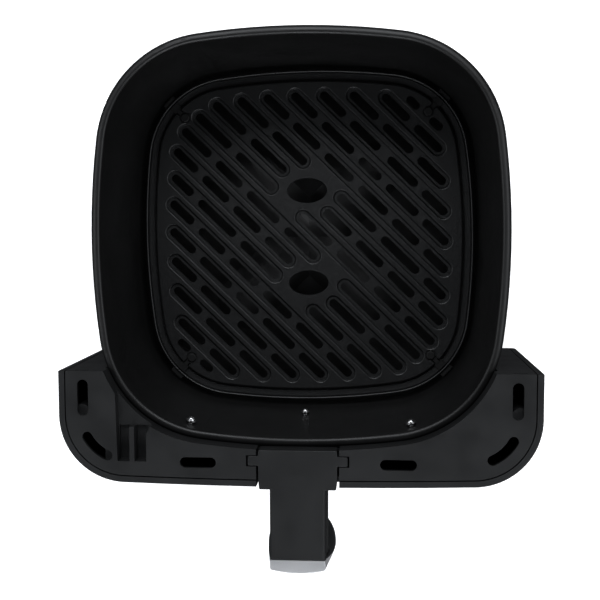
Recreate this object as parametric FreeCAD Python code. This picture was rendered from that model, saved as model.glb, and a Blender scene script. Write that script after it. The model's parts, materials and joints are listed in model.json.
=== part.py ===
"""Pull-out drawer of an air fryer: pan, crisper plate, front housing and handle.

Millimetres, +Z up. The origin is the centre of the pan's underside, the handle points along -Y.
"""
import FreeCAD
import Part
import math
import os

V = FreeCAD.Vector
X_AXIS = V(1, 0, 0)
Y_AXIS = V(0, 1, 0)
Z_AXIS = V(0, 0, 1)

# Every round-cornered square in the drawer is an offset of one outline. It is named by its
# half width, measured from the middle of the pan to the middle of a side.
RIM_HALF = 121.5            # outer edge of the pan's rim
RIM_CORNER_RADIUS = 68.5    # corner radius there
SIDE_RADIUS = 450.0         # the four sides bow outwards a little

# Pan
RIM_TOP = 108.6
RIM_LIP_BOTTOM = 103.4
RIM_LIP_WALL = 1.3
RIM_CREST_HALF = 118.0      # the rim is a dome in section, highest here
PAN_MOUTH_HALF = 115.9      # inner wall just under the rim
PAN_FLOOR_HALF = 110.3      # inner wall carried down to the floor plane
PAN_WALL = 1.6
PAN_FLOOR = 2.6
PAN_FLOOR_RADIUS = 12.0
STAR_HEIGHT = 3.0           # star pressed up in the floor, one ridge along each diagonal
STAR_TOP_HALF = 5.5
STAR_FOOT_HALF = 19.0
STAR_REACH = 55.0
STAR_FOOT_EXTRA = 8.0
STAR_CREST_RADIUS = 10.0

# Crisper plate
PLATE_TOP = 30.0
PLATE_DECK = 3.0
PLATE_HALF = 107.2
PLATE_TURN = 0.9            # the loose plate rests turned by about a degree
PLATE_SHIFT = V(0.7, 0.3, 0)
GROOVE_PITCH = 13.2
GROOVE_FLOOR_RADIUS = 4.3
GROOVE_DEPTH = 1.6
GROOVE_LIP_RADIUS = 5.0     # where a groove's sloping wall meets its rounded lip
GROOVE_LIP_DEPTH = 0.55
GROOVE_LIP = 0.75
SLOT_RADIUS = 2.8
FINGER_HOLE_LONG = 26.0
FINGER_HOLE_SHORT = 16.2
FINGER_HOLE_OFFSET = 30.0
# Slots of one half of the plate, row by row from the middle outwards. Each inner list is one
# groove, and each pair is the first and last centre of a slot's round ends along the row.
SLOT_ROWS = [
    [[(-104.6, -79.7), (-68.1, -39.8)], [(-11.0, 11.7), (23.5, 45.7), (57.0, 74.0), (85.3, 104.9)]],
    [[(-101.7, -78.7), (-67.3, -42.3)], [(-1.2, 16.6), (28.0, 45.4), (56.6, 73.7), (84.7, 99.7)]],
    [[(-91.9, -71.0), (-60.2, -36.5)], [(-1.9, 26.2), (37.8, 65.0), (76.5, 89.0)]],
    [[(-80.9, -65.3), (-54.3, -37.2), (-25.9, -7.1), (4.5, 23.8), (35.0, 52.0), (63.3, 78.0)]],
    [[(-68.8, -52.4), (-41.3, -19.5), (-8.2, 5.2), (16.5, 38.4), (49.4, 65.6)]],
    [[(-55.6, -39.7), (-28.4, -8.7), (5.0, 25.0), (36.0, 51.5)]],
    [[(-41.6, -23.2), (-11.7, 7.8), (19.0, 37.2)]],
    [[(-25.7, -8.2), (3.2, 20.7)]],
]
CORNER_SLOT_RADIUS = 2.7
CORNER_SLOT_CENTRES = [(69.0, 84.4), (83.5, 70.5)]
CORNER_SLOT_RUN = 4.8
PLATE_FOOT = 24.2           # underside of the plate's outer edge
BEAD_WIDTH = 1.2            # thin bead along the plate's outer edge
BEAD_TOP = 28.5
LEDGE_LEVEL = 27.2          # sunken ledge between the bead and the deck
LEDGE_WIDTH = 5.2
PLATE_SHOULDER = 8.4        # from the outer edge to the deck

# Silicone bumpers on the plate's corners, placed by distance from the plate's centre
BUMPER_HEAD_AT = 111.4
BUMPER_HEAD_RADIUS = 2.9
BUMPER_HEAD_LOW = 27.1
BUMPER_HEAD_TOP = 30.2
BUMPER_NECK = 2.6
BUMPER_NECK_Z = (27.3, 28.9)
BUMPER_BLOCK = (117.2, 122.4)
BUMPER_BLOCK_WIDTH = 6.0
BUMPER_BLOCK_Z = (26.9, 28.4)
BUMPER_POST = (119.6, 121.6)
BUMPER_WEB_Z = (23.2, 25.8)
BUMPER_PAD_IN = 124.8
BUMPER_PAD_OUT = 127.9
BUMPER_PAD_WIDTH = 9.0
BUMPER_PAD_Z = (23.2, 27.2)
BUMPER_GAP = 0.12
BUMPER_POCKET_DEPTH = 0.8   # shallow recess round a head
BUMPER_POCKET_MARGIN = 0.9
SHOULDER_NOTCH = 4.3        # gap in the deck's shoulder that a neck passes through

# Front housing
HOUSING_TOP = 120.0
HOUSING_BOTTOM = 2.0
HOUSING_REAR = -75.5
HOUSING_HALF = 138.8
HOUSING_FRONT = -142.0      # at the middle, the front bows back towards its corners
HOUSING_FRONT_BOW = 1.5
HOUSING_CORNER_RADIUS = 39.0
SHELL_WALL = 3.6
SHELL_FLOOR = 2.5
SHELL_BOTTOM_RADIUS = 2.5
SHELL_TOP_RADIUS = 0.6
BOSS_PLACES = [(126.2, -100.5), (76.0, -131.0)]
BOSS_RADIUS = 5.2
BOSS_SPLIT_Z = 60.0         # the shell's pillars end just below the liner's
BOSS_SEAT_Z = 54.0
BOSS_COUNTERBORE = 3.6
BOSS_CLEARANCE = 1.9
BOSS_PILOT = 1.65
HOUSING_SCREW_LENGTH = 18.0
LINER_INSET = 4.3           # the liner's top sits inside the shell's rim with a thin gap
LINER_TOP = 2.4
LINER_LIP_HALF = 120.7      # the liner's inner edge stands a little over the pan's rim
LINER_LIP_WALL = 2.4
LINER_LIP_LOW = 108.3
LINER_SKIRT_LOW = 108.0     # the liner's hidden outer skirt stands against the shell from here up
LINER_SKIRT_WALL = 1.8
LINER_WALL_HALF = 122.6
LINER_WALL = 2.2

# Slit through the rear face of each wing
WING_SLIT_X = (122.0, 130.0)
WING_SLIT_Z = (114.6, 116.4)

# Vents in the liner's top
SIDE_VENT = (124.5, -91.0)
SIDE_VENT_SIZE = (6.4, 21.2)
FRONT_VENT = (57.6, -128.2)
FRONT_VENT_SIZE = (21.0, 6.2)
CORNER_VENT_RADIUS = 25.6
CORNER_VENT_WIDTH = 6.0
CORNER_VENT_FROM = -29.0
CORNER_VENT_SWEEP = 36.0

# Channel that the appliance's safety switch reaches into, in the left wing
CHANNEL_FLOOR = 113.5
POCKET_FLOOR = 110.8
CHANNEL_OUTLINE = [
    (-114.5, -70.0),
    (-105.5, -89.0),
    (-104.6, -128.0),
    (-87.7, -128.0),
    (-87.7, -112.0),
    (-80.0, -99.0),
    (-90.0, -70.0),
]
CHANNEL_WALL = 2.0
CHANNEL_LEFT = -104.6       # the two deep pockets lie between these, split by the rib
CHANNEL_RIGHT = -87.7
CHANNEL_FRONT = -128.0
RIB_X = (-97.5, -94.7)
RIB_REAR = -107.8

# Screws through the pan's front wall
PAN_SIDE_SCREW_TURN = 15.0  # degrees round the front corners, from straight ahead
PAN_SIDE_SCREW_Z = 96.0
PAN_CENTRE_SCREW_Z = 49.5
PAN_SCREW_RADIUS = 1.5
PAN_SCREW_CLEARANCE = 1.7
SIDE_SCREW_HEAD = 2.2
SIDE_SCREW_FLANGE = 3.1
CENTRE_SCREW_HEAD = 1.8
CENTRE_SCREW_FLANGE = 2.6
SCREW_WASHER = 0.8
SCREW_SEAT = 1.25           # the heads sit this far inside the pan's wall, on their seals
PAN_SCREW_LENGTH = 19.5
BRACKET_HALF_WIDTH = 78.0
BRACKET_THICKNESS = 2.0
BRACKET_Z = (46.0, 101.0)
BRACKET_ARM_LOW = 76.0      # the strip's two arms reach down to here
BRACKET_FOOT_HALF = 28.0
RIVET_RADIUS = 3.15
RIVET_FLANGE = 4.6
RIVET_LENGTH = 7.0
STANDOFF_RADIUS = 5.5

# Handle
T_HALF = 22.7
T_FRONT_HALF = 22.2
T_TAPER_FROM = -137.5
T_REAR = -120.5
T_FRONT = -143.4
TAB_HALF = 28.7
TAB_Y = (-129.5, -124.0)
NOTCH_GAP = 1.2
NOTCH_LOW = 106.3
TAB_SIDE_GAP = 1.0
TAB_GAP = 0.5
ARM_HALF = 16.2
ARM_FRONT = -184.6
ARM_EDGE_RADIUS = 1.9
COVER_DEPTH = 13.0
COVER_WALL = 2.2
T_CORNER_RADIUS = 0.8
T_EDGE_RADIUS = 0.35
CORE_HALF = 13.3
CORE_BOTTOM = 94.0
CORE_TOP = 113.2
CORE_REAR = -127.9
CORE_FRONT = -182.0
CORE_FLOOR = 3.5
CORE_WALL = 3.0
CORE_UNDER_RADIUS = 4.0
CORE_LIP_HALF = 17.0        # ledge of the core that shows under the cover's edge
CORE_LIP_Y = (-184.4, -144.2)
CORE_LIP_Z = (103.0, 106.8)
FLANGE_HALF = 19.0
FLANGE_BOTTOM = 61.5
FLANGE_TOP = 106.0
FLANGE_FRONT = -134.0
HANDLE_SCREWS = [(-15.0, 67.0), (15.0, 67.0), (-15.0, 86.0), (15.0, 86.0)]
HANDLE_SCREW_RADIUS = 1.6
COVER_SCREWS_Y = (-152.0, -172.0)
COVER_SCREW_RADIUS = 1.3
COVER_SCREW_HEAD = 3.0
COVER_SCREW_SEAT = 7.0      # depth of the recess below each head, from the core's underside
COVER_SCREW_LENGTH = 15.0
COVER_POST_RADIUS = 3.4
COVER_PILOT = 1.35
GRIP_FRONT = -192.7         # at the middle, the front bows back to both sides
GRIP_FRONT_RADIUS = 67.0
GRIP_CORNER = 2.0
GRIP_TOP = 120.0
GRIP_BACK_TOP = 102.6
# The grip's sections from the top down: height, half width and depth of its rounded back
GRIP_SECTIONS = [
    (120.0, 16.2, 19.5),
    (111.0, 17.2, 19.5),
    (102.0, 18.4, 19.5),
    (92.0, 19.7, 19.5),
    (82.0, 20.5, 19.5),
    (70.0, 20.3, 19.3),
    (58.0, 19.0, 18.4),
    (47.0, 16.6, 16.8),
    (38.0, 13.2, 14.4),
    (31.5, 9.0, 11.0),
    (28.0, 5.2, 7.4),
]
GRIP_BACK_STEPS = 8
GRIP_STRIP_TOP = 112.0
SPLIT_Y = -184.8            # the trim meets the grip's back here at the top
SPLIT_SLOPE = 0.125         # and further forward lower down, as far as a knee
SPLIT_KNEE_Z = 84.0
TRIM_LOW = 38.0
TRIM_EDGE_RADIUS = 0.5
STIFFENER_HALF = 8.0
STIFFENER_Y = (-180.0, -178.0)
STIFFENER_Z = (58.0, 111.5)
GRIP_SCREWS_Z = (66.0, 86.0)
GRIP_SCREW_RADIUS = 1.25
GRIP_SCREW_HEAD = 2.9
GRIP_SCREW_SEAT = -176.2
GRIP_SCREW_LENGTH = 14.0


def corner_offset():
    """Distance of a corner's centre from the pan's two middle planes."""
    side = SIDE_RADIUS - RIM_HALF
    reach = SIDE_RADIUS - RIM_CORNER_RADIUS
    return (math.sqrt(2 * reach ** 2 - side ** 2) - side) / 2


def polar(radius, degrees, z=0.0):
    angle = math.radians(degrees)
    return V(radius * math.cos(angle), radius * math.sin(angle), z)


def outline_arcs():
    """The outline's eight tangent arcs: centre, radius at the rim, start angle and sweep."""
    offset = corner_offset()
    side = SIDE_RADIUS - RIM_HALF
    half_side = math.degrees(math.atan2(offset, offset + side))
    arcs = []
    for quarter in range(4):
        facing = 90 * quarter
        arcs.append((polar(-side, facing), SIDE_RADIUS, facing - half_side, 2 * half_side))
        corner = polar(offset * math.sqrt(2), facing + 45)
        arcs.append((corner, RIM_CORNER_RADIUS, facing + half_side, 90 - 2 * half_side))
    return arcs


def outline_wire(half, z):
    edges = []
    for centre, radius, start, sweep in outline_arcs():
        reach = radius - RIM_HALF + half
        middle = centre + V(0, 0, z)
        points = [middle + polar(reach, start + sweep * share) for share in (0, 0.5, 1)]
        edges.append(Part.Arc(*points).toShape())
    return Part.Wire(edges)


def outline_prism(half, low, high):
    return Part.Face(outline_wire(half, low)).extrude(V(0, 0, high - low))


def swept_faces(profile):
    """Carry a profile of (half width, height) points round the outline.

    An entry is the next corner, or a pair of points: the middle and the end of an arc.
    """
    faces = []
    for centre, radius, start, sweep in outline_arcs():

        def place(point):
            return centre + polar(radius - RIM_HALF + point[0], start, point[1])

        here = place(profile[0])
        for entry in profile[1:]:
            if isinstance(entry[0], tuple):
                there = place(entry[1])
                edge = Part.Arc(here, place(entry[0]), there).toShape()
            else:
                there = place(entry)
                edge = Part.makeLine(here, there)
            faces.append(edge.revolve(centre, Z_AXIS, sweep))
            here = there
    return faces


def closed_solid(faces):
    shell = Part.makeShell([face for shape in faces for face in shape.Faces])
    shell.sewShape()
    solid = Part.makeSolid(shell)
    if solid.Volume < 0:
        solid.reverse()
    return solid


def box(x, y, z):
    """A box from three (low, high) pairs."""
    return Part.makeBox(x[1] - x[0], y[1] - y[0], z[1] - z[0], V(x[0], y[0], z[0]))


def widened(span, gap):
    return (span[0] - gap, span[1] + gap)


def polygon_prism(points, low, high):
    corners = [V(x, y, low) for x, y in points]
    return Part.Face(Part.makePolygon(corners + corners[:1])).extrude(V(0, 0, high - low))


def stadium_wire(first, last, radius, z):
    """A slot's outline between two round ends."""
    along = (last - first).normalize()
    side = V(-along.y, along.x, 0) * radius
    level = V(0, 0, z)
    left = [first + side + level, last + side + level]
    right = [last - side + level, first - side + level]
    edges = [
        Part.makeLine(left[0], left[1]),
        Part.Arc(left[1], last + along * radius + level, right[0]).toShape(),
        Part.makeLine(right[0], right[1]),
        Part.Arc(right[1], first - along * radius + level, left[0]).toShape(),
    ]
    return Part.Wire(edges)


def stadium(first, last, radius, low, high):
    """An upright slot shape between two round ends."""
    return Part.Face(stadium_wire(first, last, radius, low)).extrude(V(0, 0, high - low))


def both_sides(shape):
    """A shape and its mirror image across the YZ plane."""
    return [shape, shape.mirror(V(0, 0, 0), X_AXIS)]


def tube(radius, bore, length, base, direction):
    outer = Part.makeCylinder(radius, length, base, direction)
    inner = Part.makeCylinder(bore, length, base, direction)
    return outer.cut(inner)


def screw(head_radius, head_height, shank_radius, length, seat, direction, flange_radius=0.0):
    """A pan-head screw whose head sits behind seat and whose shank runs along direction."""
    head = Part.makeCylinder(head_radius, head_height, seat - direction * head_height, direction)
    rounded = head.makeFillet(head_height * 0.6, [far_rim(head, seat, direction)])
    shank = Part.makeCylinder(shank_radius, length, seat, direction)
    tip = Part.makeCone(shank_radius, shank_radius * 0.5, 1.0, seat + direction * length, direction)
    pieces = [shank, tip]
    if flange_radius:
        washer_base = seat - direction * SCREW_WASHER
        pieces.append(Part.makeCylinder(flange_radius, SCREW_WASHER, washer_base, direction))
    solid = rounded.fuse(pieces)
    recess_base = seat - direction * (head_height + 0.1)
    blade = Part.makeBox(head_radius * 1.1, 0.8, 1.1, V(-head_radius * 0.55, -0.4, 0))
    cross = blade.fuse(blade.copy().rotate(V(0, 0, 0), Z_AXIS, 90))
    cross.Placement = FreeCAD.Placement(recess_base, FreeCAD.Rotation(Z_AXIS, direction))
    return solid.cut(cross).removeSplitter()


def far_rim(head, seat, direction):
    """The circular edge of a screw head furthest behind its seat."""
    circles = [edge for edge in head.Edges if len(edge.Vertexes) == 1]
    return min(circles, key=lambda edge: (edge.CenterOfMass - seat).dot(direction))


def wall_half(z):
    """Half width of the pan's inner wall at a height."""
    return PAN_FLOOR_HALF + (PAN_MOUTH_HALF - PAN_FLOOR_HALF) * z / RIM_TOP


def quarter_bend(half, low, radius):
    """Middle point of a bend from the floor up into the wall."""
    short = radius * (1 - math.sqrt(0.5))
    return (half - short, low + short)


def front_point(turn, half, z):
    """A point on the pan's front wall and the outward direction there.

    With no turn it is the middle of the front, otherwise it lies on a corner, that many degrees round.
    """
    outward = polar(1, turn - 90)
    if turn == 0:
        return V(0, -half, z), outward
    side = math.copysign(corner_offset(), turn)
    centre = V(side, -corner_offset(), z)
    return centre + outward * (RIM_CORNER_RADIUS - RIM_HALF + half), outward


def pan_screw_places():
    """Where the pan is screwed to its bracket: turn round the corner and height."""
    return [
        (-PAN_SIDE_SCREW_TURN, PAN_SIDE_SCREW_Z),
        (PAN_SIDE_SCREW_TURN, PAN_SIDE_SCREW_Z),
        (0, PAN_CENTRE_SCREW_Z),
    ]


def star_ridge(degrees):
    """One low ridge with sloping flanks, right across the middle of the floor."""
    foot_end = polar(STAR_REACH + STAR_FOOT_EXTRA, degrees)
    top_end = polar(STAR_REACH, degrees)
    foot = stadium_wire(foot_end * -1, foot_end, STAR_FOOT_HALF, PAN_FLOOR - 0.1)
    top = stadium_wire(top_end * -1, top_end, STAR_TOP_HALF, PAN_FLOOR + STAR_HEIGHT)
    ridge = Part.makeLoft([foot, top], True, True)
    crest = [edge for edge in ridge.Edges if edge.BoundBox.ZMin > PAN_FLOOR + STAR_HEIGHT - 0.01]
    return ridge.makeFillet(STAR_CREST_RADIUS, crest)


def make_pan():
    foot = wall_half(PAN_FLOOR_RADIUS) + PAN_WALL
    inner_radius = PAN_FLOOR_RADIUS - PAN_FLOOR + PAN_WALL
    inner_bend = PAN_FLOOR + inner_radius
    inner_foot = wall_half(inner_bend)
    under_rim = RIM_LIP_BOTTOM + 1.2
    wall = wall_half(under_rim) + PAN_WALL
    outer_radius = RIM_HALF - RIM_CREST_HALF
    outer_z = RIM_TOP - outer_radius
    mouth_radius = RIM_CREST_HALF - PAN_MOUTH_HALF
    mouth_z = RIM_TOP - mouth_radius
    slant = math.sqrt(0.5)
    profile = [
        (foot - PAN_FLOOR_RADIUS, 0),
        (quarter_bend(foot, 0, PAN_FLOOR_RADIUS), (foot, PAN_FLOOR_RADIUS)),
        (wall, under_rim),
        ((wall + 0.5, under_rim + 1.1), (wall + 1.6, under_rim + 1.6)),
        (RIM_HALF - RIM_LIP_WALL, under_rim + 0.4),
        (RIM_HALF - RIM_LIP_WALL, RIM_LIP_BOTTOM),
        (RIM_HALF, RIM_LIP_BOTTOM),
        (RIM_HALF, outer_z),
        ((RIM_CREST_HALF + outer_radius * slant, outer_z + outer_radius * slant), (RIM_CREST_HALF, RIM_TOP)),
        ((RIM_CREST_HALF - mouth_radius * slant, mouth_z + mouth_radius * slant), (PAN_MOUTH_HALF, mouth_z)),
        (inner_foot, inner_bend),
        (quarter_bend(inner_foot, PAN_FLOOR, inner_radius), (inner_foot - inner_radius, PAN_FLOOR)),
    ]
    faces = swept_faces(profile)
    faces.append(Part.Face(outline_wire(foot - PAN_FLOOR_RADIUS, 0)))
    faces.append(Part.Face(outline_wire(inner_foot - inner_radius, PAN_FLOOR)))
    pan = closed_solid(faces).fuse([star_ridge(45), star_ridge(135)])
    for turn, z in pan_screw_places():
        start, outward = front_point(turn, wall_half(z) - 5, z)
        pan = pan.cut(Part.makeCylinder(PAN_SCREW_CLEARANCE, 12, start, outward))
    return pan.removeSplitter()


def row_point(u, v, z=0.0):
    """A point in the plate's own diagonal directions: u along a groove, v across."""
    return V((u + v) / math.sqrt(2), (v - u) / math.sqrt(2), z)


def groove_section(point, side):
    """Edges of half a groove's cross-section, to one side of a point on its middle line."""

    def place(reach, height):
        return point + side * reach + V(0, 0, PLATE_TOP + height)

    foot = place(GROOVE_FLOOR_RADIUS, -GROOVE_DEPTH)
    lip = place(GROOVE_LIP_RADIUS, -GROOVE_LIP_DEPTH)
    lip_bend = place(GROOVE_LIP_RADIUS + 0.3 * GROOVE_LIP, -0.3 * GROOVE_LIP_DEPTH)
    deck = place(GROOVE_LIP_RADIUS + GROOVE_LIP, 0)
    above = place(GROOVE_LIP_RADIUS + GROOVE_LIP, 0.5)
    return [
        Part.makeLine(place(0, -GROOVE_DEPTH), foot),
        Part.makeLine(foot, lip),
        Part.Arc(lip, lip_bend, deck).toShape(),
        Part.makeLine(deck, above),
        Part.makeLine(above, place(0, 0.5)),
    ]


def groove_cutter(first, last):
    """A groove with sloping walls and rounded lips, in three pieces that meet end to end."""
    run = last - first
    side = V(-run.y, run.x, 0).normalize()
    section = Part.Wire(Part.__sortEdges__(groove_section(first, side) + groove_section(first, side * -1)))
    pieces = [Part.Face(section).extrude(run)]
    for end, turn in ((first, 180), (last, -180)):
        top = end + V(0, 0, PLATE_TOP + 0.5)
        axis = Part.makeLine(top, end + V(0, 0, PLATE_TOP - GROOVE_DEPTH))
        half = Part.Face(Part.Wire(groove_section(end, side) + [axis]))
        pieces.append(half.revolve(end, Z_AXIS, turn))
    return pieces


def plate_cutters():
    """Grooves first, then the slots and holes that go right through."""
    grooves = []
    slots = []
    low = PLATE_TOP - PLATE_DECK - 1
    high = PLATE_TOP + 1
    for half in (1, -1):
        for number, row in enumerate(SLOT_ROWS):
            v = (number + 0.5) * GROOVE_PITCH * half
            for groove in row:
                ends = [row_point(groove[side][side] * half, v) for side in (0, -1)]
                grooves += groove_cutter(*ends)
                for first, last in groove:
                    slots.append(
                        stadium(row_point(first * half, v), row_point(last * half, v), SLOT_RADIUS, low, high)
                    )
        for x, y in CORNER_SLOT_CENTRES:
            middle = V(x, y, 0) * half
            reach = row_point(CORNER_SLOT_RUN / 2, 0)
            slots.append(stadium(middle - reach, middle + reach, CORNER_SLOT_RADIUS, low, high))
        hole = Part.Ellipse(V(0, FINGER_HOLE_OFFSET * half, low), FINGER_HOLE_LONG / 2, FINGER_HOLE_SHORT / 2)
        slots.append(Part.Face(Part.Wire([hole.toShape()])).extrude(V(0, 0, high - low)))
    return grooves, slots


def bumper_parts(gap):
    """One bumper on the +X diagonal, grown by gap where the plate has to leave room for it.

    The head sits on the deck, the block on the ledge, and the web runs under the plate's edge.
    """
    neck = widened((-BUMPER_NECK / 2, BUMPER_NECK / 2), gap)
    across = widened((-BUMPER_BLOCK_WIDTH / 2, BUMPER_BLOCK_WIDTH / 2), gap)
    low, high = widened((BUMPER_HEAD_LOW, BUMPER_HEAD_TOP), gap)
    web_z = widened(BUMPER_WEB_Z, gap)
    post = widened(BUMPER_POST, gap)
    return [
        Part.makeCylinder(BUMPER_HEAD_RADIUS + gap, high - low, V(BUMPER_HEAD_AT, 0, low)),
        box((BUMPER_HEAD_AT, BUMPER_BLOCK[0] + 1), neck, widened(BUMPER_NECK_Z, gap)),
        box(widened(BUMPER_BLOCK, gap), across, widened(BUMPER_BLOCK_Z, gap)),
        box(post, neck, (web_z[0], BUMPER_BLOCK_Z[0] + 0.5)),
        box((post[0], BUMPER_PAD_IN + 0.5), across, web_z),
    ]


def seat(shape):
    """Move a shape from the plate's own frame to where the loose plate rests."""
    shape = shape.copy()
    shape.rotate(V(0, 0, 0), Z_AXIS, PLATE_TURN)
    shape.translate(PLATE_SHIFT)
    return shape


def make_crisper_plate():
    under = PLATE_TOP - PLATE_DECK
    edge = PLATE_HALF
    skirt = edge - PLATE_SHOULDER
    profile = [
        (skirt - 0.4, under),
        (skirt, PLATE_FOOT),
        (edge, PLATE_FOOT),
        (edge, BEAD_TOP - BEAD_WIDTH / 2),
        ((edge - BEAD_WIDTH / 2, BEAD_TOP), (edge - BEAD_WIDTH, BEAD_TOP - BEAD_WIDTH / 2)),
        (edge - BEAD_WIDTH - 0.2, LEDGE_LEVEL - 0.5),
        (edge - BEAD_WIDTH - 0.8, LEDGE_LEVEL),
        (edge - LEDGE_WIDTH, LEDGE_LEVEL - 0.2),
        (edge - PLATE_SHOULDER + 2.0, LEDGE_LEVEL - 0.9),
        (edge - PLATE_SHOULDER + 1.5, PLATE_TOP - 1.2),
        ((edge - PLATE_SHOULDER + 1.1, PLATE_TOP - 0.35), (skirt, PLATE_TOP)),
    ]
    faces = swept_faces(profile)
    faces.append(Part.Face(outline_wire(skirt - 0.4, under)))
    faces.append(Part.Face(outline_wire(skirt, PLATE_TOP)))
    plate = closed_solid(faces)
    grooves, slots = plate_cutters()
    plate = plate.cut(grooves)
    plate = plate.cut(slots)
    notch_y = (-SHOULDER_NOTCH / 2, SHOULDER_NOTCH / 2)
    notch = box((BUMPER_HEAD_AT, BUMPER_BLOCK[0] + 1), notch_y, (BUMPER_NECK_Z[0] - 0.3, PLATE_TOP + 1))
    pocket_base = V(BUMPER_HEAD_AT, 0, PLATE_TOP - BUMPER_POCKET_DEPTH)
    pocket = Part.makeCylinder(BUMPER_HEAD_RADIUS + BUMPER_POCKET_MARGIN, 2.0, pocket_base)
    cutters = bumper_parts(BUMPER_GAP) + [notch, pocket]
    for corner in range(4):
        for cutter in cutters:
            turned = cutter.copy()
            turned.rotate(V(0, 0, 0), Z_AXIS, 45 + 90 * corner)
            plate = plate.cut(turned)
    return seat(plate.removeSplitter())


def make_bumper(degrees):
    parts = bumper_parts(0.0)
    head = parts[0]
    crown = [edge for edge in head.Edges if edge.BoundBox.ZMin > BUMPER_HEAD_TOP - 0.1]
    half_pad = BUMPER_PAD_WIDTH / 2
    pad = box((BUMPER_PAD_IN, BUMPER_PAD_OUT), (-half_pad, half_pad), BUMPER_PAD_Z)
    outer = [edge for edge in pad.Edges if edge.CenterOfMass.x > BUMPER_PAD_OUT - 0.1]
    bumper = head.makeFillet(0.8, crown).fuse(parts[1:] + [pad.makeFillet(1.0, outer)]).removeSplitter()
    bumper.rotate(V(0, 0, 0), Z_AXIS, degrees)
    return seat(bumper)


def housing_wire(inset, z):
    """The housing's outline in plan, moved in by inset, closed along its rear edge."""
    half = HOUSING_HALF - inset
    front = HOUSING_FRONT + inset
    bow = HOUSING_FRONT_BOW
    radius = HOUSING_CORNER_RADIUS - inset
    corner_x = half - radius
    front_corner = front + bow
    corner_y = front_corner + radius
    diagonal = radius * math.sqrt(0.5)
    right = [
        V(half, HOUSING_REAR, z),
        V(half, corner_y, z),
        V(corner_x + diagonal, corner_y - diagonal, z),
        V(corner_x, front_corner, z),
    ]
    left = [V(-point.x, point.y, z) for point in right]
    edges = [
        Part.makeLine(left[0], right[0]),
        Part.makeLine(right[0], right[1]),
        Part.Arc(right[1], right[2], right[3]).toShape(),
        Part.Arc(right[3], V(0, front, z), left[3]).toShape(),
        Part.Arc(left[3], left[2], left[1]).toShape(),
        Part.makeLine(left[1], left[0]),
    ]
    return Part.Wire(edges)


def housing_prism(inset, low, high):
    return Part.Face(housing_wire(inset, low)).extrude(V(0, 0, high - low))


def boss_places():
    """Centres of the four pillars that hold shell and liner together."""
    return [(side * x, y) for side in (-1, 1) for x, y in BOSS_PLACES]


def handle_notch(low):
    """The space in the housing's top that the handle's cover fills."""
    half = T_HALF + NOTCH_GAP
    return box((-half, half), (T_FRONT - 8, T_REAR + 12), (low, HOUSING_TOP + 5))


def make_front_shell():
    inner = outline_prism(LINER_WALL_HALF + LINER_WALL + 0.4, -5, HOUSING_TOP + 5)
    outer = housing_prism(0, HOUSING_BOTTOM, HOUSING_TOP)
    outer = outer.makeFillet(SHELL_BOTTOM_RADIUS, level_edges(outer, HOUSING_BOTTOM))
    outer = outer.makeFillet(SHELL_TOP_RADIUS, level_edges(outer, HOUSING_TOP))
    floor_top = HOUSING_BOTTOM + SHELL_FLOOR
    hollow = housing_prism(SHELL_WALL, floor_top, HOUSING_TOP + 5)
    inside = HOUSING_HALF - SHELL_WALL
    rear_space = box((-inside, inside), (HOUSING_REAR - 1, HOUSING_REAR + 5), (floor_top, HOUSING_TOP + 5))
    shell = outer.cut([hollow, rear_space, inner])
    pillars = []
    bores = []
    for x, y in boss_places():
        base = V(x, y, HOUSING_BOTTOM)
        pillars.append(Part.makeCylinder(BOSS_RADIUS, BOSS_SPLIT_Z - 0.5 - HOUSING_BOTTOM, base))
        bores.append(Part.makeCylinder(BOSS_COUNTERBORE, BOSS_SEAT_Z - HOUSING_BOTTOM, base))
        bores.append(Part.makeCylinder(BOSS_CLEARANCE, BOSS_SPLIT_Z, base))
    shell = shell.fuse(pillars).cut(bores)
    shell = shell.cut(handle_notch(HOUSING_TOP - COVER_DEPTH - 0.8))
    arm_slot = CORE_HALF + 0.8
    shell = shell.cut(box((-arm_slot, arm_slot), (-150, -136), (CORE_BOTTOM - 1, HOUSING_TOP)))
    return shell.removeSplitter()


def level_edges(solid, z):
    """The edges of a housing solid that lie at one height, all but the rear one."""
    return [
        edge
        for edge in solid.Edges
        if edge.BoundBox.ZMin > z - 0.01 and edge.BoundBox.ZMax < z + 0.01 and edge.CenterOfMass.y < -80
    ]


def liner_wall():
    """The wall that follows the pan, with a lip just over the rim."""
    outer = LINER_WALL_HALF + LINER_WALL
    lip_outer = LINER_LIP_HALF + LINER_LIP_WALL
    profile = [
        (LINER_LIP_HALF, HOUSING_TOP),
        (LINER_LIP_HALF, LINER_LIP_LOW),
        (LINER_LIP_HALF + 1.3, LINER_LIP_LOW),
        (LINER_WALL_HALF, LINER_LIP_LOW - 1.7),
        (LINER_WALL_HALF, HOUSING_BOTTOM),
        (outer, HOUSING_BOTTOM),
        (outer, LINER_LIP_LOW - 0.9),
        (lip_outer, LINER_LIP_LOW + 1.9),
        (lip_outer, HOUSING_TOP),
        (LINER_LIP_HALF, HOUSING_TOP),
    ]
    ring = closed_solid(swept_faces(profile))
    return ring.common(box((-150, 150), (-150, HOUSING_REAR), (0, 130)))


def vent_cutters():
    low = HOUSING_TOP - LINER_TOP - 1
    high = HOUSING_TOP + 1
    cutters = []
    run = V(0, (SIDE_VENT_SIZE[1] - SIDE_VENT_SIZE[0]) / 2, 0)
    middle = V(SIDE_VENT[0], SIDE_VENT[1], 0)
    cutters += both_sides(stadium(middle - run, middle + run, SIDE_VENT_SIZE[0] / 2, low, high))
    run = V((FRONT_VENT_SIZE[0] - FRONT_VENT_SIZE[1]) / 2, 0, 0)
    middle = V(FRONT_VENT[0], FRONT_VENT[1], 0)
    cutters += both_sides(stadium(middle - run, middle + run, FRONT_VENT_SIZE[1] / 2, low, high))
    cutters += both_sides(corner_vent(low, high))
    return cutters


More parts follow.
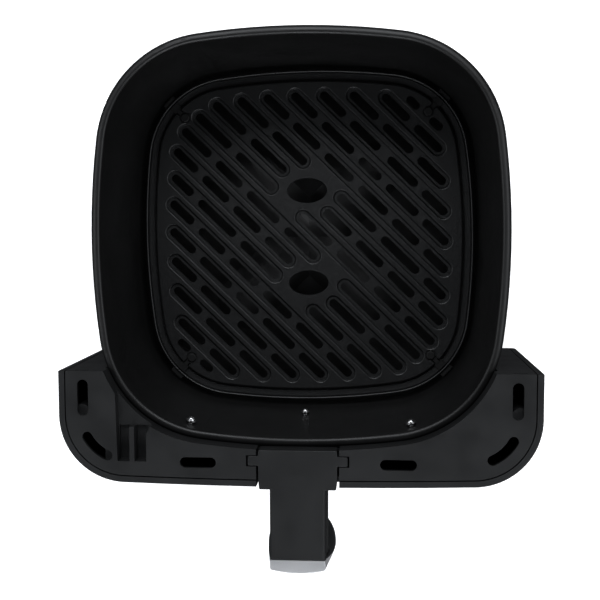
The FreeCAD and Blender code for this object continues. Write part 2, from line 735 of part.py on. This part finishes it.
def corner_vent(low, high):
    """A slot bent round the housing's corner, with round ends."""
    corner_y = HOUSING_FRONT + HOUSING_FRONT_BOW + HOUSING_CORNER_RADIUS
    centre = V(HOUSING_HALF - HOUSING_CORNER_RADIUS, corner_y, low)
    start = CORNER_VENT_FROM
    stop = CORNER_VENT_FROM - CORNER_VENT_SWEEP
    reach = CORNER_VENT_WIDTH / 2
    angles = (start, (start + stop) / 2, stop)
    inner = [centre + polar(CORNER_VENT_RADIUS - reach, angle) for angle in angles]
    outer = [centre + polar(CORNER_VENT_RADIUS + reach, angle) for angle in angles]
    tips = [
        centre + polar(CORNER_VENT_RADIUS, start) + polar(reach, start + 90),
        centre + polar(CORNER_VENT_RADIUS, stop) + polar(reach, stop - 90),
    ]
    edges = [
        Part.Arc(inner[0], inner[1], inner[2]).toShape(),
        Part.Arc(inner[2], tips[1], outer[2]).toShape(),
        Part.Arc(outer[2], outer[1], outer[0]).toShape(),
        Part.Arc(outer[0], tips[0], inner[0]).toShape(),
    ]
    return Part.Face(Part.Wire(edges)).extrude(V(0, 0, high - low))


def channel_tray():
    """The switch channel's floor and walls, before the channel itself is cut out."""
    low = POCKET_FLOOR - CHANNEL_WALL
    wall = CHANNEL_WALL
    block_x = (CHANNEL_LEFT - 7.9, CHANNEL_RIGHT + wall)
    block = box(block_x, (CHANNEL_FRONT - wall, -88.0), (low, HOUSING_TOP))
    corner = box((CHANNEL_RIGHT + 1.2, -79.0), (-109.5, -98.0), (low, HOUSING_TOP))
    tray = block.fuse(corner)
    return tray.cut(outline_prism(LINER_LIP_HALF + 0.5, low - 1, HOUSING_TOP + 1))


def make_front_liner():
    top = housing_prism(LINER_INSET, HOUSING_TOP - LINER_TOP, HOUSING_TOP)
    top = top.cut(outline_prism(LINER_LIP_HALF, 100, 130))
    rear_low = HOUSING_BOTTOM + SHELL_FLOOR + 0.3
    half = HOUSING_HALF - LINER_INSET
    rear = box((110.0, half), (HOUSING_REAR - LINER_TOP, HOUSING_REAR), (rear_low, HOUSING_TOP))
    rear = rear.cut(outline_prism(LINER_WALL_HALF + 0.6, 0, 130))
    rear = rear.cut(box(WING_SLIT_X, (HOUSING_REAR - 5, HOUSING_REAR + 5), WING_SLIT_Z))
    skirt = housing_prism(LINER_INSET, LINER_SKIRT_LOW, HOUSING_TOP)
    skirt = skirt.cut(housing_prism(LINER_INSET + LINER_SKIRT_WALL, 100, 130))
    skirt = skirt.cut(box((-half + 2, half - 2), (HOUSING_REAR - 4, HOUSING_REAR + 4), (100, 130)))
    pieces = [liner_wall(), skirt, channel_tray()] + both_sides(rear)
    for x, y in boss_places():
        pieces.append(Part.makeCylinder(BOSS_RADIUS, HOUSING_TOP - BOSS_SPLIT_Z, V(x, y, BOSS_SPLIT_Z)))
    liner = top.fuse(pieces)
    cutters = vent_cutters()
    for x, y in boss_places():
        cutters.append(Part.makeCylinder(BOSS_PILOT, 20, V(x, y, BOSS_SPLIT_Z - 1)))
    channel = polygon_prism(CHANNEL_OUTLINE, CHANNEL_FLOOR, HOUSING_TOP + 2)
    rib = box(RIB_X, (-140, RIB_REAR), (100, HOUSING_TOP))
    cutters.append(channel.cut(rib))
    for pocket_x in ((CHANNEL_LEFT, RIB_X[0]), (RIB_X[1], CHANNEL_RIGHT)):
        cutters.append(box(pocket_x, (CHANNEL_FRONT, RIB_REAR), (POCKET_FLOOR, HOUSING_TOP)))
    cutters.append(handle_notch(NOTCH_LOW))
    tab_reach = TAB_HALF + TAB_SIDE_GAP
    tab_y = (TAB_Y[0] - TAB_GAP, TAB_Y[1] + TAB_GAP)
    cutters.append(box((-tab_reach, tab_reach), tab_y, (NOTCH_LOW, HOUSING_TOP + 5)))
    for turn, z in pan_screw_places():
        start, outward = front_point(turn, LINER_WALL_HALF - 3, z)
        cutters.append(Part.makeCylinder(PAN_SCREW_CLEARANCE, 10, start, outward))
    return liner.cut(cutters).removeSplitter()


def make_mounting_bracket():
    """A steel strip bent to the liner's front wall, that carries pan and handle."""
    low, high = BRACKET_Z
    rear = LINER_WALL_HALF + LINER_WALL + 0.2
    ring = outline_prism(rear + BRACKET_THICKNESS, low, high).cut(outline_prism(rear, low, high))
    half = BRACKET_HALF_WIDTH
    strip = ring.common(box((-half, half), (-150, -90), BRACKET_Z))
    below_arms = box((BRACKET_FOOT_HALF, half + 1), (-150, -90), (low - 1, BRACKET_ARM_LOW))
    strip = strip.cut(both_sides(below_arms))
    for turn, z in pan_screw_places():
        start, outward = front_point(turn, rear - 3, z)
        strip = strip.cut(Part.makeCylinder(RIVET_RADIUS + 0.05, 10, start, outward))
    for x, z in HANDLE_SCREWS:
        strip = strip.cut(Part.makeCylinder(HANDLE_SCREW_RADIUS + 0.1, 12, V(x, -120, z), V(0, -1, 0)))
    return strip.removeSplitter()


def make_rivet_nuts():
    nuts = []
    bore = PAN_SCREW_RADIUS + 0.05
    for turn, z in pan_screw_places():
        rear = LINER_WALL_HALF + LINER_WALL + 0.5
        start, outward = front_point(turn, rear, z)
        barrel = tube(RIVET_RADIUS, bore, RIVET_LENGTH, start, outward)
        flange = tube(RIVET_FLANGE, bore, 1.0, start + outward * BRACKET_THICKNESS, outward)
        nuts.append(barrel.fuse(flange).removeSplitter())
    return Part.Compound(nuts)


def make_pan_standoffs():
    """Spacer tubes that keep the hot pan away from the plastic liner."""
    tubes = []
    for turn, z in pan_screw_places():
        rear = wall_half(z) + PAN_WALL + 0.55
        start, outward = front_point(turn, rear, z)
        tubes.append(tube(STANDOFF_RADIUS, PAN_SCREW_CLEARANCE, LINER_WALL_HALF - 0.4 - rear, start, outward))
    return Part.Compound(tubes)


def pan_screw(turn, z, head_radius, flange_radius):
    under_head, outward = front_point(turn, wall_half(z) - SCREW_SEAT, z)
    height = SCREW_WASHER + head_radius * 0.7
    return screw(head_radius, height, PAN_SCREW_RADIUS, PAN_SCREW_LENGTH, under_head, outward, flange_radius)


def make_screw_seals():
    seals = []
    for turn, z in pan_screw_places():
        radius = (SIDE_SCREW_FLANGE if turn else CENTRE_SCREW_FLANGE) - 0.3
        start, outward = front_point(turn, wall_half(z) - 0.5, z)
        seals.append(tube(radius, PAN_SCREW_CLEARANCE, SCREW_SEAT - 0.55, start, outward * -1))
    return Part.Compound(seals)


def cover_plan(shrink, low, high):
    """The handle cover's T and arm in plan, moved in by shrink."""
    arm = ARM_HALF - shrink
    side = T_HALF - shrink
    tab = TAB_HALF - shrink
    right = [
        (side, T_REAR - shrink),
        (side, TAB_Y[1] - shrink),
        (tab, TAB_Y[1] - shrink),
        (tab, TAB_Y[0] + shrink),
        (side, TAB_Y[0] + shrink),
        (side, T_TAPER_FROM),
        (T_FRONT_HALF - shrink, T_FRONT + shrink),
        (arm, T_FRONT + shrink),
        (arm, ARM_FRONT + shrink),
    ]
    left = [(-x, y) for x, y in reversed(right)]
    return polygon_prism(right + left, low, high)


def make_handle_top_cover():
    low = HOUSING_TOP - COVER_DEPTH
    cover = cover_plan(0, low, HOUSING_TOP)
    upright = [
        edge
        for edge in cover.Edges
        if edge.BoundBox.ZLength > COVER_DEPTH - 0.1 and abs(edge.CenterOfMass.x) > ARM_HALF + 1
    ]
    cover = cover.makeFillet(T_CORNER_RADIUS, upright)
    top = [edge for edge in cover.Edges if edge.BoundBox.ZMin > HOUSING_TOP - 0.01]
    arm_edges = [edge for edge in top if edge.BoundBox.YLength > 30]
    cover = cover.makeFillet(ARM_EDGE_RADIUS, arm_edges)
    head = [
        edge
        for edge in cover.Edges
        if edge.BoundBox.ZMin > HOUSING_TOP - 0.01 and edge.BoundBox.YMin > T_FRONT + 0.1
    ]
    cover = cover.makeFillet(T_EDGE_RADIUS, head)
    cover = cover.cut(cover_plan(COVER_WALL, low - 1, HOUSING_TOP - COVER_WALL))
    cover = cover.cut(outline_prism(RIM_HALF + 0.7, low - 1, RIM_TOP + 0.6))
    under_top = HOUSING_TOP - COVER_WALL
    for y in COVER_SCREWS_Y:
        cover = cover.fuse(tube(COVER_POST_RADIUS, COVER_PILOT, 4.1, V(0, y, under_top - 4.0), Z_AXIS))
    return cover.removeSplitter()


def make_handle_core():
    arm = box((-CORE_HALF, CORE_HALF), (CORE_FRONT, CORE_REAR), (CORE_BOTTOM, CORE_TOP))
    under = [
        edge for edge in arm.Edges if edge.BoundBox.YLength > 20 and edge.BoundBox.ZMax < CORE_BOTTOM + 0.1
    ]
    arm = arm.makeFillet(CORE_UNDER_RADIUS, under)
    lip = box((-CORE_LIP_HALF, CORE_LIP_HALF), CORE_LIP_Y, CORE_LIP_Z)
    flange = box((-FLANGE_HALF, FLANGE_HALF), (FLANGE_FRONT, CORE_REAR), (FLANGE_BOTTOM, FLANGE_TOP))
    gusset = box((-4.0, 4.0), (-137.4, FLANGE_FRONT + 0.1), (FLANGE_BOTTOM + 6, CORE_BOTTOM + 1))
    core = arm.fuse([lip, flange, gusset])
    floor = CORE_BOTTOM + CORE_FLOOR
    light = box((-CORE_HALF + CORE_WALL, CORE_HALF - CORE_WALL), (-166.0, -140.0), (floor, CORE_TOP + 1))
    web = box((-CORE_WALL / 2, CORE_WALL / 2), (-167.0, -139.0), (CORE_BOTTOM, CORE_TOP))
    column = Part.makeCylinder(4.4, CORE_TOP - CORE_BOTTOM, V(0, COVER_SCREWS_Y[0], CORE_BOTTOM))
    core = core.cut(light.cut([web, column]))
    for x, z in HANDLE_SCREWS:
        core = core.cut(Part.makeCylinder(HANDLE_SCREW_RADIUS + 0.3, 20, V(x, -126, z), V(0, -1, 0)))
    for y in COVER_SCREWS_Y:
        base = V(0, y, CORE_BOTTOM - 1)
        core = core.cut(Part.makeCylinder(COVER_SCREW_RADIUS + 0.4, 30, base))
        core = core.cut(Part.makeCylinder(COVER_SCREW_HEAD + 0.3, COVER_SCREW_SEAT + 1, base))
    return core.cut(stiffener_space(CORE_BOTTOM - 1, STIFFENER_Z[1] + 0.5)).removeSplitter()


def grip_section(z, half, depth):
    """The grip's outline in plan at a height: bowed front, two small corners, rounded back."""
    bow_centre = V(0, GRIP_FRONT + GRIP_FRONT_RADIUS, z)
    reach = GRIP_FRONT_RADIUS - GRIP_CORNER
    corner_x = half - GRIP_CORNER
    corner_y = bow_centre.y - math.sqrt(reach ** 2 - corner_x ** 2)
    corner = V(corner_x, corner_y, z)
    facing = math.degrees(math.atan2(corner_y - bow_centre.y, corner_x))
    tangent = bow_centre + polar(GRIP_FRONT_RADIUS, facing)
    turn = corner + polar(GRIP_CORNER, facing / 2)
    side = V(half, corner_y, z)
    back = []
    for step in range(GRIP_BACK_STEPS + 1):
        angle = math.pi * step / GRIP_BACK_STEPS
        back.append(V(half * math.cos(angle), corner_y + (depth - GRIP_CORNER) * math.sin(angle), z))
    curve = Part.BSplineCurve()
    curve.interpolate(Points=back, InitialTangent=Y_AXIS, FinalTangent=Y_AXIS * -1)
    edges = [
        Part.Arc(mirrored(tangent), V(0, GRIP_FRONT, z), tangent).toShape(),
        Part.Arc(tangent, turn, side).toShape(),
        curve.toShape(),
        Part.Arc(mirrored(side), mirrored(turn), mirrored(tangent)).toShape(),
    ]
    return Part.Wire(edges)


def mirrored(point):
    return V(-point.x, point.y, point.z)


def grip_body():
    return Part.makeLoft([grip_section(*section) for section in GRIP_SECTIONS], True, False)


def trim_space(gap):
    """Everything in front of the joint between the grip's back and its trim, kept off it by gap."""
    knee_y = SPLIT_Y - (GRIP_TOP - SPLIT_KNEE_Z) * SPLIT_SLOPE
    outline = [
        (SPLIT_Y + SPLIT_SLOPE - gap, GRIP_TOP + 1),
        (knee_y - gap, SPLIT_KNEE_Z),
        (knee_y - gap, TRIM_LOW + gap),
        (-200.0, TRIM_LOW + gap),
        (-200.0, GRIP_TOP + 1),
    ]
    corners = [V(-30, y, z) for y, z in outline]
    return Part.Face(Part.makePolygon(corners + corners[:1])).extrude(V(60, 0, 0))


def stiffener_space(low, high):
    half = STIFFENER_HALF + 0.2
    return box((-half, half), (STIFFENER_Y[0] - 0.2, STIFFENER_Y[1] + 0.2), (low, high))


def make_grip_back():
    body = grip_body().cut(trim_space(0))
    arm_rear = -150
    under_arm = box((-30, 30), (ARM_FRONT - 0.1, arm_rear), (GRIP_BACK_TOP, GRIP_TOP + 1))
    above_strip = box((-30, 30), (-200, ARM_FRONT), (GRIP_STRIP_TOP, GRIP_TOP + 1))
    half = CORE_HALF + 0.2
    core_space = box((-half, half), (CORE_FRONT - 0.2, arm_rear), (CORE_BOTTOM - 0.2, GRIP_BACK_TOP + 1))
    body = body.cut([under_arm, above_strip, core_space])
    body = body.cut(stiffener_space(STIFFENER_Z[0] - 0.3, CORE_BOTTOM + 1))
    for z in GRIP_SCREWS_Z:
        body = body.cut(Part.makeCylinder(GRIP_SCREW_RADIUS + 0.3, 30, V(0, -200, z), Y_AXIS))
        body = body.cut(Part.makeCylinder(GRIP_SCREW_HEAD + 0.3, 12, V(0, GRIP_SCREW_SEAT, z), Y_AXIS))
    return body.removeSplitter()


def make_grip_trim():
    trim = grip_body().common(trim_space(0.1))
    rim = [
        edge
        for edge in trim.Edges
        if edge.BoundBox.ZMin > GRIP_TOP - 0.01 and edge.CenterOfMass.y < SPLIT_Y - 1
    ]
    trim = trim.makeFillet(TRIM_EDGE_RADIUS, rim)
    tip_y = GRIP_SCREW_SEAT - GRIP_SCREW_LENGTH - 1.1
    for z in GRIP_SCREWS_Z:
        trim = trim.cut(Part.makeCylinder(GRIP_SCREW_RADIUS + 0.05, 10, V(0, tip_y, z), Y_AXIS))
    return trim.removeSplitter()


def make_grip_stiffener():
    """A steel strip that joins the grip to the arm's core."""
    leg = box((-STIFFENER_HALF, STIFFENER_HALF), STIFFENER_Y, STIFFENER_Z)
    for z in GRIP_SCREWS_Z:
        leg = leg.cut(Part.makeCylinder(GRIP_SCREW_RADIUS + 0.5, 20, V(0, -190, z), Y_AXIS))
    return leg


def make_grip_screws():
    forward = V(0, -1, 0)
    screws = []
    for z in GRIP_SCREWS_Z:
        under_head = V(0, GRIP_SCREW_SEAT + 0.05, z)
        screws.append(screw(GRIP_SCREW_HEAD, 1.8, GRIP_SCREW_RADIUS, GRIP_SCREW_LENGTH, under_head, forward))
    return Part.Compound(screws)


def make_cover_screws():
    screws = []
    for y in COVER_SCREWS_Y:
        seat_point = V(0, y, CORE_BOTTOM + COVER_SCREW_SEAT - 0.05)
        length = COVER_SCREW_LENGTH
        screws.append(screw(COVER_SCREW_HEAD, 2.0, COVER_SCREW_RADIUS, length, seat_point, Z_AXIS))
    return Part.Compound(screws)


def make_handle_screws():
    screws = []
    for x, z in HANDLE_SCREWS:
        under_head = V(x, FLANGE_FRONT - 0.05, z)
        screws.append(screw(3.4, 2.2, HANDLE_SCREW_RADIUS, 7.9, under_head, Y_AXIS))
    return Part.Compound(screws)


def make_housing_screws():
    screws = []
    for x, y in boss_places():
        under_head = V(x, y, BOSS_SEAT_Z)
        screws.append(screw(3.3, 2.2, BOSS_PILOT - 0.05, HOUSING_SCREW_LENGTH, under_head, Z_AXIS))
    return Part.Compound(screws)


def main():
    nodes = {
        "pan": make_pan(),
        "crisper_plate": make_crisper_plate(),
        "bumper_rear_right": make_bumper(45),
        "bumper_rear_left": make_bumper(135),
        "bumper_front_left": make_bumper(225),
        "bumper_front_right": make_bumper(315),
        "front_shell": make_front_shell(),
        "front_liner": make_front_liner(),
        "mounting_bracket": make_mounting_bracket(),
        "bracket_rivet_nuts": make_rivet_nuts(),
        "pan_standoffs": make_pan_standoffs(),
        "pan_side_screws": Part.Compound([
            pan_screw(side * PAN_SIDE_SCREW_TURN, PAN_SIDE_SCREW_Z, SIDE_SCREW_HEAD, SIDE_SCREW_FLANGE)
            for side in (-1, 1)
        ]),
        "pan_centre_screw": pan_screw(0, PAN_CENTRE_SCREW_Z, CENTRE_SCREW_HEAD, CENTRE_SCREW_FLANGE),
        "screw_seals": make_screw_seals(),
        "handle_core": make_handle_core(),
        "handle_top_cover": make_handle_top_cover(),
        "handle_screws": make_handle_screws(),
        "cover_screws": make_cover_screws(),
        "grip_back": make_grip_back(),
        "grip_trim": make_grip_trim(),
        "grip_stiffener": make_grip_stiffener(),
        "grip_screws": make_grip_screws(),
        "housing_screws": make_housing_screws(),
    }
    os.makedirs("parts", exist_ok=True)
    for name, shape in nodes.items():
        shape.exportStep("parts/" + name + ".step")
        print(name, len(shape.Solids), "solids", round(shape.Volume / 1000, 2), "cm3", shape.isValid())


main()
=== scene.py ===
"""Looks of the air fryer drawer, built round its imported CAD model. Metres, +Z up, handle towards -Y."""

import json
import math

import bpy
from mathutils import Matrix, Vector

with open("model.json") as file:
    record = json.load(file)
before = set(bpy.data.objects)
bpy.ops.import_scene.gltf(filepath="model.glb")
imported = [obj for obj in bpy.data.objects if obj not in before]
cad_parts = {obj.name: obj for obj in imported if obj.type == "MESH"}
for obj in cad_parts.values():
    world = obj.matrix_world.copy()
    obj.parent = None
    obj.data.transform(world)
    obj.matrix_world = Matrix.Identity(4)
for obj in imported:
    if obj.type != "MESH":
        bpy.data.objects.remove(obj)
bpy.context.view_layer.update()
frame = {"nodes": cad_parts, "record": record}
nodes = frame["nodes"]

MM = 0.001

# Base greys, linear. The drawer is all but black, so the light on it does most of the work.
HOUSING_GREY = 0.007
CORE_GREY = 0.008
PLATE_GREY = 0.006
PAN_GREY = 0.003
CREST_SHEEN_GREY = 0.035          # painted highlight on the crests of the star in the pan's floor, a lighter colour in place of their sheen
SILICONE_GREY = 0.005

# The star's crests, where the painted highlight lies, by height and by distance from the pan's middle
CREST_FROM = 3.4 * MM
CREST_FULL = 5.4 * MM
CREST_TOP = 6.0 * MM
CREST_GONE = 7.0 * MM
CREST_REACH = 80 * MM
CREST_END = 85 * MM

# Light and camera
FLOOR_HALF = 8.0
FLOOR_DROP = 0.2 * MM       # the floor lies just under the pan, so the two don't flicker
FLOOR_GLOW = 0.8
WORLD_COLOUR = (0.9, 0.93, 1.0, 1.0)
WORLD_STRENGTH = 0.05
LIGHT_COLOUR = (0.93, 0.96, 1.0)
LIGHT_AIM = (0, -0.03, 0.05)
CAMERA_PLACE = (0.0416, 0.01063, 0.68185)
CAMERA_TURN = (-4.5386, 4.0424, -0.1686)    # degrees about X, Y and Z
CAMERA_LENS = 60.0
CAMERA_SENSOR = 36.0

# ---------------------------------------------------------------- materials


def new_material(name, colour, roughness, metallic=0.0, specular=0.5):
    """A Principled material whose uniform values sit on the shader's own sockets."""
    material = bpy.data.materials.new(name)
    material.use_nodes = True
    shader = material.node_tree.nodes["Principled BSDF"]
    shader.inputs["Base Color"].default_value = (*colour, 1.0)
    shader.inputs["Roughness"].default_value = roughness
    shader.inputs["Metallic"].default_value = metallic
    shader.inputs["Specular IOR Level"].default_value = specular
    return material, shader


class Nodes:
    """Short calls for the few texture nodes that the materials share."""

    def __init__(self, material):
        self.tree = material.node_tree
        self.place = self.add("ShaderNodeTexCoord").outputs["Object"]

    def add(self, kind, **settings):
        node = self.tree.nodes.new(kind)
        for key, value in settings.items():
            setattr(node, key, value)
        return node

    def link(self, out, socket):
        self.tree.links.new(out, socket)
        return out

    def noise(self, grain, detail=2.0, roughness=0.5, stretch=None):
        """Noise whose features are about grain metres across."""
        node = self.add("ShaderNodeTexNoise")
        node.inputs["Scale"].default_value = 1.0 / grain
        node.inputs["Detail"].default_value = detail
        node.inputs["Roughness"].default_value = roughness
        place = self.place
        if stretch:
            mapping = self.add("ShaderNodeMapping")
            mapping.inputs["Scale"].default_value = stretch
            self.link(place, mapping.inputs["Vector"])
            place = mapping.outputs["Vector"]
        self.link(place, node.inputs["Vector"])
        return node.outputs["Fac"]

    def cells(self, grain):
        """Small round cells about grain metres across."""
        node = self.add("ShaderNodeTexVoronoi", feature="SMOOTH_F1")
        node.inputs["Scale"].default_value = 1.0 / grain
        self.link(self.place, node.inputs["Vector"])
        return node.outputs["Distance"]

    def remap(self, out, low, high, start=0.3, stop=0.7):
        node = self.add("ShaderNodeMapRange")
        node.inputs["From Min"].default_value = start
        node.inputs["From Max"].default_value = stop
        node.inputs["To Min"].default_value = low
        node.inputs["To Max"].default_value = high
        self.link(out, node.inputs["Value"])
        return node.outputs["Result"]

    def ramp(self, out, stops):
        node = self.add("ShaderNodeValToRGB")
        ramp = node.color_ramp
        while len(ramp.elements) < len(stops):
            ramp.elements.new(0.5)
        for element, (position, colour) in zip(ramp.elements, stops):
            element.position = position
            element.color = (*colour, 1.0)
        self.link(out, node.inputs["Fac"])
        return node.outputs["Color"]

    def star_crest_sheen(self):
        """One on the crests of the star in the pan's floor, where a highlight is painted, nought
        elsewhere.
        """
        split = self.add("ShaderNodeSeparateXYZ")
        self.link(self.place, split.inputs[0])
        crest = self.remap(split.outputs["Z"], 0.0, 1.0, CREST_FROM, CREST_FULL)
        under = self.remap(split.outputs["Z"], 1.0, 0.0, CREST_TOP, CREST_GONE)
        reach = self.add("ShaderNodeVectorMath", operation="LENGTH")
        self.link(self.place, reach.inputs[0])
        inside = self.remap(reach.outputs["Value"], 1.0, 0.0, CREST_REACH, CREST_END)
        return self.product(self.product(crest, under), inside)

    def product(self, one, other):
        node = self.add("ShaderNodeMath", operation="MULTIPLY")
        self.link(one, node.inputs[0])
        self.link(other, node.inputs[1])
        return node.outputs[0]

    def blend(self, share, base, colour):
        """A base colour that gives way to another by a share from nought to one."""
        node = self.add("ShaderNodeMixRGB")
        self.link(share, node.inputs["Fac"])
        self.link(base, node.inputs["Color1"])
        node.inputs["Color2"].default_value = (*colour, 1.0)
        return node.outputs["Color"]

    def bump(self, shader, out, depth, strength=1.0, under=None):
        node = self.add("ShaderNodeBump")
        node.inputs["Strength"].default_value = strength
        node.inputs["Distance"].default_value = depth
        self.link(out, node.inputs["Height"])
        if under is not None:
            self.link(under, node.inputs["Normal"])
        self.link(node.outputs["Normal"], shader.inputs["Normal"])
        return node.outputs["Normal"]


def grey(value, tint=1.0):
    """A near-neutral grey, a touch cooler for a tint above 1."""
    return (value / tint, value, value * tint)


def spark_plastic(name, value, roughness=0.5, specular=0.4):
    """Moulded black plastic with a fine spark-eroded grain and faint handling marks."""
    material, shader = new_material(name, grey(value, 1.04), roughness, specular=specular)
    n = Nodes(material)
    grain = n.noise(0.45 * MM, detail=3.0, roughness=0.6)
    cloud = n.noise(18 * MM, detail=4.0)
    shades = [(0.3, grey(value * 0.85, 1.04)), (0.7, grey(value * 1.15, 1.04))]
    n.link(n.ramp(cloud, shades), shader.inputs["Base Color"])
    n.link(n.remap(cloud, roughness - 0.05, roughness + 0.06), shader.inputs["Roughness"])
    n.bump(shader, grain, 0.03 * MM, 0.6)
    return material


def plate_coating():
    """Coarse non-stick coating: a dense grain of small bumps with lighter crowns."""
    value = PLATE_GREY
    material, shader = new_material("plate_coating", grey(value, 1.03), 0.36, specular=0.55)
    n = Nodes(material)
    grain = n.noise(0.75 * MM, detail=3.0, roughness=0.65)
    specks = n.cells(1.1 * MM)
    shades = [(0.35, grey(value * 0.6, 1.03)), (0.72, grey(value * 1.8, 1.03))]
    n.link(n.ramp(grain, shades), shader.inputs["Base Color"])
    n.link(n.remap(specks, 0.28, 0.44, 0.1, 0.6), shader.inputs["Roughness"])
    first = n.bump(shader, specks, 0.06 * MM, 0.35)
    n.bump(shader, grain, 0.12 * MM, 1.0, under=first)
    return material


def pan_coating():
    """Smooth satin non-stick coating with a soft orange peel."""
    value = PAN_GREY
    material, shader = new_material("pan_coating", grey(value, 1.02), 0.44, specular=0.42)
    n = Nodes(material)
    peel = n.noise(1.6 * MM, detail=2.0)
    cloud = n.noise(30 * MM, detail=3.0)
    n.link(n.remap(cloud, 0.4, 0.5), shader.inputs["Roughness"])
    shades = n.ramp(cloud, [(0.3, grey(value * 0.85)), (0.7, grey(value * 1.2))])
    # The crests of the floor's star get a lighter painted highlight mixed into the base colour.
    n.link(n.blend(n.star_crest_sheen(), shades, grey(CREST_SHEEN_GREY)), shader.inputs["Base Color"])
    n.bump(shader, peel, 0.05 * MM, 0.4)
    return material


def silicone():
    """Matte black silicone with a little dust."""
    material, shader = new_material("silicone", grey(SILICONE_GREY), 0.66, specular=0.22)
    n = Nodes(material)
    dust = n.noise(1.2 * MM, detail=3.0)
    n.link(n.remap(dust, 0.55, 0.72), shader.inputs["Roughness"])
    shades = [(0.35, grey(0.8 * SILICONE_GREY)), (0.7, grey(1.4 * SILICONE_GREY))]
    n.link(n.ramp(dust, shades), shader.inputs["Base Color"])
    n.bump(shader, dust, 0.02 * MM, 0.4)
    return material


def silver_paint():
    """Satin silver paint with a very fine metallic flake."""
    material, shader = new_material("silver_trim", (0.72, 0.72, 0.73), 0.38, metallic=0.75)
    n = Nodes(material)
    flake = n.noise(0.25 * MM, detail=2.0)
    cloud = n.noise(9 * MM, detail=3.0)
    shades = [(0.3, (0.66, 0.66, 0.67)), (0.7, (0.78, 0.78, 0.79))]
    n.link(n.ramp(flake, shades), shader.inputs["Base Color"])
    n.link(n.remap(cloud, 0.34, 0.44), shader.inputs["Roughness"])
    n.bump(shader, flake, 0.01 * MM, 0.4)
    return material


def steel(name, value, roughness):
    """Plated or bright steel with drawn lines."""
    material, shader = new_material(name, grey(value), roughness, metallic=1.0)
    n = Nodes(material)
    lines = n.noise(2.2 * MM, detail=4.0, stretch=(1.0, 1.0, 14.0))
    shades = [(0.3, grey(value * 0.8)), (0.7, grey(min(value * 1.15, 1.0)))]
    n.link(n.ramp(lines, shades), shader.inputs["Base Color"])
    n.link(n.remap(lines, roughness - 0.08, roughness + 0.1), shader.inputs["Roughness"])
    n.bump(shader, lines, 0.01 * MM, 0.3)
    return material


def finish_nodes():
    """Give every CAD node the material of its real piece."""
    finishes = {
        "pan_coating": pan_coating(),
        "plate_coating": plate_coating(),
        "silicone": silicone(),
        "housing_plastic": spark_plastic("housing_plastic", HOUSING_GREY),
        "core_plastic": spark_plastic("core_plastic", CORE_GREY, 0.58),
        "silver_trim": silver_paint(),
        "steel": steel("bright_steel", 0.72, 0.25),
        "zinc_steel": steel("zinc_steel", 0.55, 0.4),
    }
    for part in frame["record"]["subparts"]:
        cad_object = nodes[part["node"]]
        for material_slot in cad_object.material_slots:
            material_slot.material = finishes[part["material_slot"]]


# ---------------------------------------------------------------- stage, light and camera


def make_floor():
    """A plain white sheet that is left out of reflections, so the black parts stay black."""
    half = FLOOR_HALF
    low = -FLOOR_DROP
    mesh = bpy.data.meshes.new("floor")
    corners = [(-half, -half, low), (half, -half, low), (half, half, low), (-half, half, low)]
    mesh.from_pydata(corners, [], [(0, 1, 2, 3)])
    floor = bpy.data.objects.new("floor", mesh)
    bpy.context.scene.collection.objects.link(floor)
    material, shader = new_material("floor_paper", (0.9, 0.9, 0.9), 0.9, specular=0.1)
    shader.inputs["Emission Color"].default_value = (1.0, 1.0, 1.0, 1.0)
    shader.inputs["Emission Strength"].default_value = FLOOR_GLOW
    mesh.materials.append(material)
    floor.visible_glossy = False


def softbox(name, location, size, power):
    """A rectangular area light that faces the drawer."""
    light = bpy.data.lights.new(name, "AREA")
    light.shape = "RECTANGLE"
    light.size, light.size_y = size
    light.energy = power
    light.color = LIGHT_COLOUR
    lamp = bpy.data.objects.new(name, light)
    lamp.location = location
    lamp.rotation_euler = (Vector(LIGHT_AIM) - Vector(location)).to_track_quat("-Z", "Y").to_euler()
    bpy.context.scene.collection.objects.link(lamp)


def make_light():
    world = bpy.data.worlds.new("studio")
    world.use_nodes = True
    background = world.node_tree.nodes["Background"]
    background.inputs["Color"].default_value = WORLD_COLOUR
    background.inputs["Strength"].default_value = WORLD_STRENGTH
    bpy.context.scene.world = world
    softbox("back_softbox", (0.0, 1.2, 1.2), (1.6, 0.9), 23)
    softbox("front_softbox", (0.15, -1.5, 1.0), (1.6, 0.9), 20)
    softbox("left_softbox", (-1.4, 0.0, 1.1), (1.2, 0.8), 7)
    softbox("right_softbox", (1.4, 0.0, 1.1), (1.2, 0.8), 9)


def make_camera():
    """Nearly straight above, a little right of the pan's middle."""
    camera = bpy.data.objects.new("camera", bpy.data.cameras.new("camera"))
    camera.data.lens = CAMERA_LENS
    camera.data.sensor_width = CAMERA_SENSOR
    camera.location = CAMERA_PLACE
    camera.rotation_euler = [math.radians(angle) for angle in CAMERA_TURN]
    bpy.context.scene.collection.objects.link(camera)
    bpy.context.scene.camera = camera
    bpy.context.scene.view_settings.view_transform = "Standard"


make_camera()
make_floor()
make_light()
finish_nodes()
